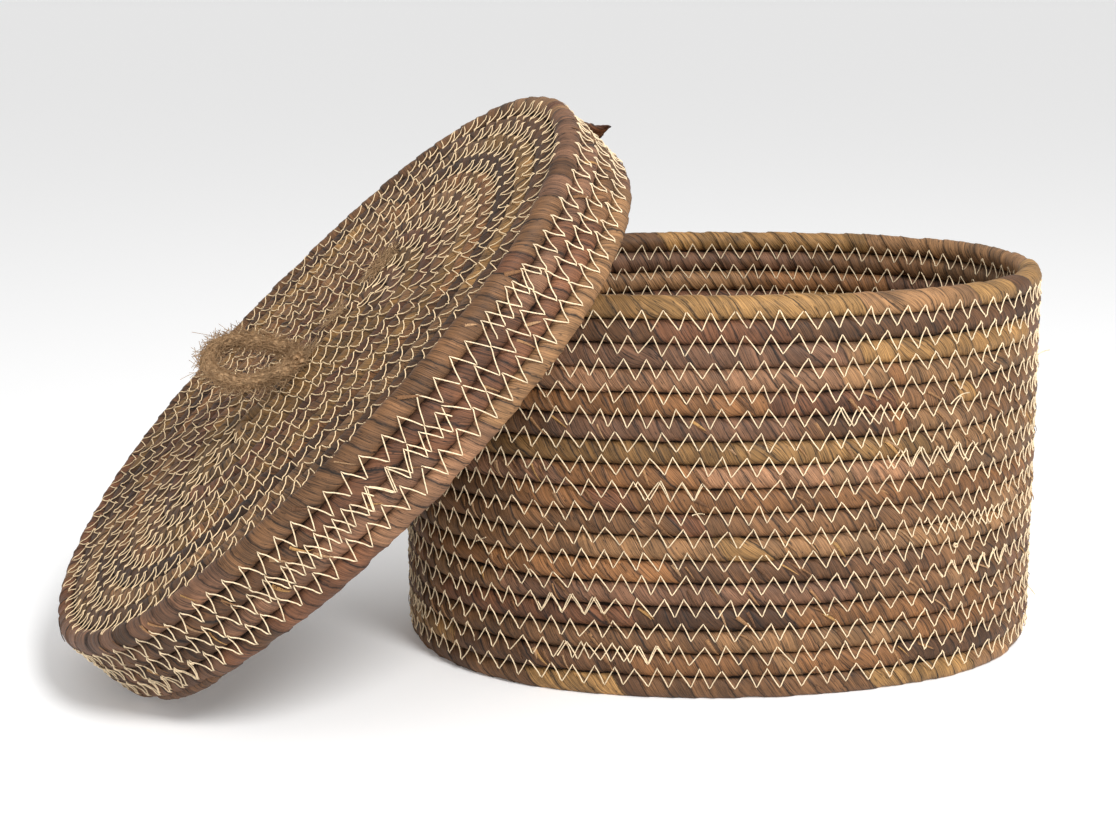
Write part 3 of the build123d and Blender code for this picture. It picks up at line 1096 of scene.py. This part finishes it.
def hairs(tubes, line, radius, count, rng, length=5.0, stand=0.35):
    """Loose fibres that run along a cord and stand off it a little."""
    tangents = path_tangents(line, False)
    share = np.linspace(0, 1, 5)[:, None]
    for _ in range(count):
        at = rng.integers(len(line))
        outward = rng.normal(size=3)
        outward -= outward.dot(tangents[at]) * tangents[at]
        outward /= np.linalg.norm(outward)
        direction = rng.choice((-1, 1)) * tangents[at] + rng.uniform(0, 2 * stand) * outward
        direction += 0.3 * rng.normal(size=3)
        bend = 0.5 * rng.normal(size=3)
        reach = length * rng.uniform(0.4, 1.0)
        hair = line[at] + outward * radius * rng.uniform(0.75, 1.0) + share * reach * direction
        hair = hair + share**2 * reach * bend * 0.6
        tubes.add(hair, HAIR_HINT, HAIR, 3)


def build_loop():
    rng = np.random.default_rng(81)
    tubes = Tubes()
    half = [
        (0, 0.3 * LOOP_ROOT_LENGTH, 0),
        (0.33 * LOOP_LENGTH, 0.88 * LOOP_HALF_WIDTH, 0),
        (0.74 * LOOP_LENGTH, LOOP_HALF_WIDTH, 0),
    ]
    shape = half + [(LOOP_LENGTH, 0, 0)] + [(x, -y, z) for x, y, z in reversed(half)]
    line = smooth_line(shape, 200) @ np.array(Matrix.Rotation(-LOOP_ROLL, 3, "X")).T
    cord = twisted_cord(tubes, line, UP, 0.95 * CORD, rng)
    hairs(tubes, cord, CORD, 1600, rng, 7.0)
    hairs(tubes, cord, CORD, 1600, rng, 4.0, stand=0.12)
    root = np.array([(0, -LOOP_ROOT_LENGTH / 2, 0), (0, 0, 0.2), (0, LOOP_ROOT_LENGTH / 2, 0)])
    roll = twisted_cord(tubes, smooth_line(root, 40), UP, CORD, rng)
    hairs(tubes, roll, CORD, 500, rng, 5.0)
    piece = tubes.piece("loop_handle_cord", jute, "loop", "jute")
    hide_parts("loop_handle")


def build_cord_through_lid():
    tubes = Tubes()
    line = np.array([(0, 0, 0.5), (0, 0, -ROPE), (0, 0, -2 * ROPE)])
    twisted_cord(tubes, smooth_line(line, 30), (1, 0, 0), CORD, np.random.default_rng(82))
    piece = tubes.piece("loop_cord_through_lid", jute, "lid", "jute")
    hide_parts("loop_cord")


def build_knot():
    """Knot under the lid: the cord wound over itself."""
    rng = np.random.default_rng(83)
    tubes = Tubes()
    angle = np.linspace(0, 2 * math.pi, 160, endpoint=False)
    x = KNOT_RADIUS * np.cos(2 * angle)
    y = KNOT_HALF_WIDTH * np.sin(angle)
    z = KNOT_RADIUS * np.sin(2 * angle)
    line = np.stack([x, y, z], axis=-1) + np.array([0, 0, -KNOT_DEPTH])
    twisted_cord(tubes, np.vstack([line, line[:1]]), (0.2, 0.3, 1), KNOT_CORD, rng)
    hairs(tubes, line, 2.6, 120, rng, 4.0)
    piece = tubes.piece("loop_knot_cord", jute, "lid_knot", "jute")
    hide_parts("loop_knot")


def build_jute_tufts():
    """Frayed jute that lies on the lid near the foot of the loop and farther up."""
    rng = np.random.default_rng(84)
    tubes = Tubes()
    along = np.array([math.cos(LEAN_HEADING), math.sin(LEAN_HEADING), 0])
    aside = np.array([-along[1], along[0], 0])
    for start, end, side, count in TUFTS:
        for row in (-1.0, 0.0, 1.0):
            line = np.linspace(start, end, 20)[:, None] * along + (side + TUFT_SPREAD * row) * aside
            line[:, 2] = 0.9 - 0.3 * abs(row)
            hairs(tubes, line, 0.8, count, rng, 7.0, stand=0.12)
    tubes.piece("lid_jute_tufts", jute, "lid", "jute")


# ---- loose ends

# for each cut end of thread: share of the way round, height in courses, length and rise
THREAD_ENDS = (
    (0.60, 6.6, 17, 0.5),
    (0.63, 6.0, 8, -0.2),
    (0.965, 13.4, 12, 0.3),
    (0.97, 2.6, 9, -0.5),
    (0.72, 8.5, 7, 0.6),
    (0.86, 12.6, 9, 0.9),
    (0.30, 9.5, 12, 0.4),
    (0.15, 4.5, 9, -0.6),
)
THREAD_KNOT = (0.865, 6.5)  # share of the way round and height in courses
THREAD_KNOT_RADIUS = 0.9


def on_wall(share, course, outwards):
    """Point near the wall at a share of the way round, its outward direction and the one along."""
    points = ring_path(WALL_HALF_WIDTH)[0]
    at = int(share * len(points)) % len(points)
    tangent = path_tangents(points, True)[at]
    normal = np.array([tangent[1], -tangent[0]])
    start = np.append(points[at] + outwards * normal, course_height(course))
    return start, np.append(normal, 0), np.append(tangent, 0)


def build_stray_threads():
    """Cut ends of sewing thread that hang off the wall, and one small knot."""
    rng = np.random.default_rng(91)
    tubes = Tubes()
    for share, course, length, rise in THREAD_ENDS:
        start, normal, tangent = on_wall(share, course, ROPE)
        reach = np.linspace(0, 1, 9)[:, None]
        away = tangent * 0.8 + normal * 0.35 + np.array([0, 0, rise])
        line = start + reach * length * away + reach**2 * (normal * 1.5 - np.array([0, 0, 2.5]))
        line = line + 0.4 * rng.normal(size=3) * np.sin(math.pi * reach)
        tubes.add(line, (0.1, 0.2, 1), THREAD * 0.9)
    start, normal, tangent = on_wall(*THREAD_KNOT, ROPE + 0.8)
    turn = np.linspace(0, 2 * math.pi * 3, 60)[:, None]
    knot = start + THREAD_KNOT_RADIUS * np.cos(turn) * tangent
    knot = knot + THREAD_KNOT_RADIUS * np.sin(turn) * np.array([0, 0, 1])
    knot = knot + 0.6 * np.sin(1.4 * turn) * normal
    tubes.add(knot, normal, THREAD)
    tubes.piece("stray_threads", cotton, "basket", "sewing_thread")


SLIVER_STEPS = 9
SLIVER_HALF_THICKNESS = 0.09
SLIVER_ABOVE = 0.35  # from the rope's mean surface to the root of the strip
SLIVER_LIFT = (0.2, 1.3)  # from there to its tip
SLIVER_LENGTH = (3, 9)
SLIVER_HALF_WIDTH = (0.35, 1.1)
# degrees
SLIVER_ANGLE = (20, 60)  # of its root above the middle of the rope
SLIVER_TURN = (40, 90)  # downwards round the rope, from its root to its tip


def leaf_sliver(rng, path, height):
    """One thin torn strip, as rings of four points: it follows the rope and lifts off towards its tip."""
    line, tangents = path
    at = rng.integers(len(line))
    tangent = np.append(tangents[at], 0)
    normal = np.array([tangent[1], -tangent[0], 0])
    share = np.linspace(0, 1, SLIVER_STEPS)
    angle = math.radians(rng.uniform(*SLIVER_ANGLE)) - share * math.radians(rng.uniform(*SLIVER_TURN))
    along = share * rng.uniform(*SLIVER_LENGTH)
    lifted = ROPE + SLIVER_ABOVE + rng.uniform(*SLIVER_LIFT) * share**2
    middle = np.append(line[at], height) + along[:, None] * tangent
    middle = middle + (lifted * np.cos(angle))[:, None] * normal
    middle[:, 2] += lifted * np.sin(angle)
    width = rng.uniform(*SLIVER_HALF_WIDTH) * np.sqrt(np.clip(1.02 - share, 0, 1))
    outward = normal * np.cos(angle)[:, None] + np.array([0, 0, 1]) * np.sin(angle)[:, None]
    side = np.cross(path_tangents(middle, False), outward)
    side /= np.linalg.norm(side, axis=1, keepdims=True)
    side *= width[:, None]
    thick = SLIVER_HALF_THICKNESS * outward
    corners = [middle - side - thick, middle + side - thick, middle + side + thick, middle - side + thick]
    return np.stack(corners, axis=1).reshape(-1, 3)


def build_leaf_slivers(name, rings, body, seed, count):
    """Thin torn strips that lift off the rope; rings are (half width, height) of rope courses."""
    rng = np.random.default_rng(seed)
    points, quads, colours = [], [], []
    paths = {half_width: ring_path(half_width)[0] for half_width, _ in rings}
    paths = {half_width: (line, path_tangents(line, True)) for half_width, line in paths.items()}
    faces = np.concatenate([grid_faces(SLIVER_STEPS, 4, False), np.stack(end_caps(SLIVER_STEPS, 4))])
    for number in range(count):
        half_width, height = rings[rng.integers(len(rings))]
        points.append(leaf_sliver(rng, paths[half_width], height))
        quads.append(faces + number * 4 * SLIVER_STEPS)
        tone = SLIVER_MIX[rng.integers(len(SLIVER_MIX))]
        colours.append(np.tile(leaf_tone(rng, tone), (4 * SLIVER_STEPS, 1)))
    piece = finish_mesh(name, np.concatenate(points), [np.concatenate(quads)], sliver_leaf, body)
    add_colours(piece, np.concatenate(colours))


def build_slivers():
    wall = [(course_half_width(n), course_height(n)) for n in range(2, BELOW_LID + 1)]
    build_leaf_slivers("wall_torn_leaf", wall, "basket", 95, 420)
    edge = [(LID_HALF_WIDTH, -ROPE - n * PITCH) for n in range(SKIRT_COURSES)]
    build_leaf_slivers("lid_torn_leaf", edge, "lid", 96, 90)


# ---- floor, light and camera, in metres

FLOOR_SIZE = 400
WORLD_STRENGTH = 0.72
KEY_PLACE = (0.5, -1.25, 1.35)
KEY_TARGET = (0, 0, 0.1)
KEY_SIZE = 0.6
KEY_POWER = 30
CAMERA_PLACE = (-0.1333, -1.0153, 0.3338)
CAMERA_YAW = -0.048  # radians
CAMERA_PITCH = -0.215
CAMERA_ROLL = math.radians(0.42)
CAMERA_LENS = 63.9  # millimetres, on a sensor 36 mm wide


def build_floor():
    bpy.ops.mesh.primitive_plane_add(size=FLOOR_SIZE, location=(0, 0, 0))
    floor = bpy.context.object
    floor.name = "floor"
    material, _, shader = new_material("floor_paint")
    set_inputs(shader, Base_Color=(0.92, 0.92, 0.92, 1), Emission_Color=(1, 1, 1, 1))
    set_inputs(shader, Emission_Strength=0.12, Roughness=0.9, Specular_IOR_Level=0.1)
    floor.data.materials.append(material)


def build_light():
    world = bpy.data.worlds.new("studio")
    world.use_nodes = True
    set_inputs(world.node_tree.nodes["Background"], Color=(1, 1, 1, 1), Strength=WORLD_STRENGTH)
    bpy.context.scene.world = world
    key = bpy.data.lights.new("key", "AREA")
    key.shape = "DISK"
    key.size = KEY_SIZE
    key.energy = KEY_POWER
    lamp = bpy.data.objects.new("key", key)
    lamp.location = KEY_PLACE
    lamp.rotation_euler = (Vector(KEY_TARGET) - Vector(KEY_PLACE)).to_track_quat("-Z", "Y").to_euler()
    bpy.context.scene.collection.objects.link(lamp)
    bpy.context.scene.view_settings.view_transform = "Standard"


def build_camera():
    lens = bpy.data.cameras.new("camera")
    lens.sensor_width = 36
    lens.lens = CAMERA_LENS
    camera = bpy.data.objects.new("camera", lens)
    looking = (
        Matrix.Rotation(CAMERA_YAW, 3, "Z")
        @ Matrix.Rotation(CAMERA_PITCH, 3, "X")
        @ Matrix.Rotation(CAMERA_ROLL, 3, "Y")
    )
    right, forward, up = (looking.col[n] for n in range(3))
    turned = Matrix((right, up, -forward)).transposed().to_4x4()
    camera.matrix_world = Matrix.Translation(CAMERA_PLACE) @ turned
    bpy.context.scene.collection.objects.link(camera)
    bpy.context.scene.camera = camera


build_wall()
build_wall_stitching()
build_groove_shadow_tubes()
build_base()
build_lid_top()
build_lid_edge()
build_lid_edge_stitching()
build_rope_tail()
build_rim_end()
build_loop()
build_cord_through_lid()
build_jute_tufts()
build_knot()
build_stray_threads()
build_slivers()
build_floor()
build_light()
build_camera()

bpy.context.view_layer.update()
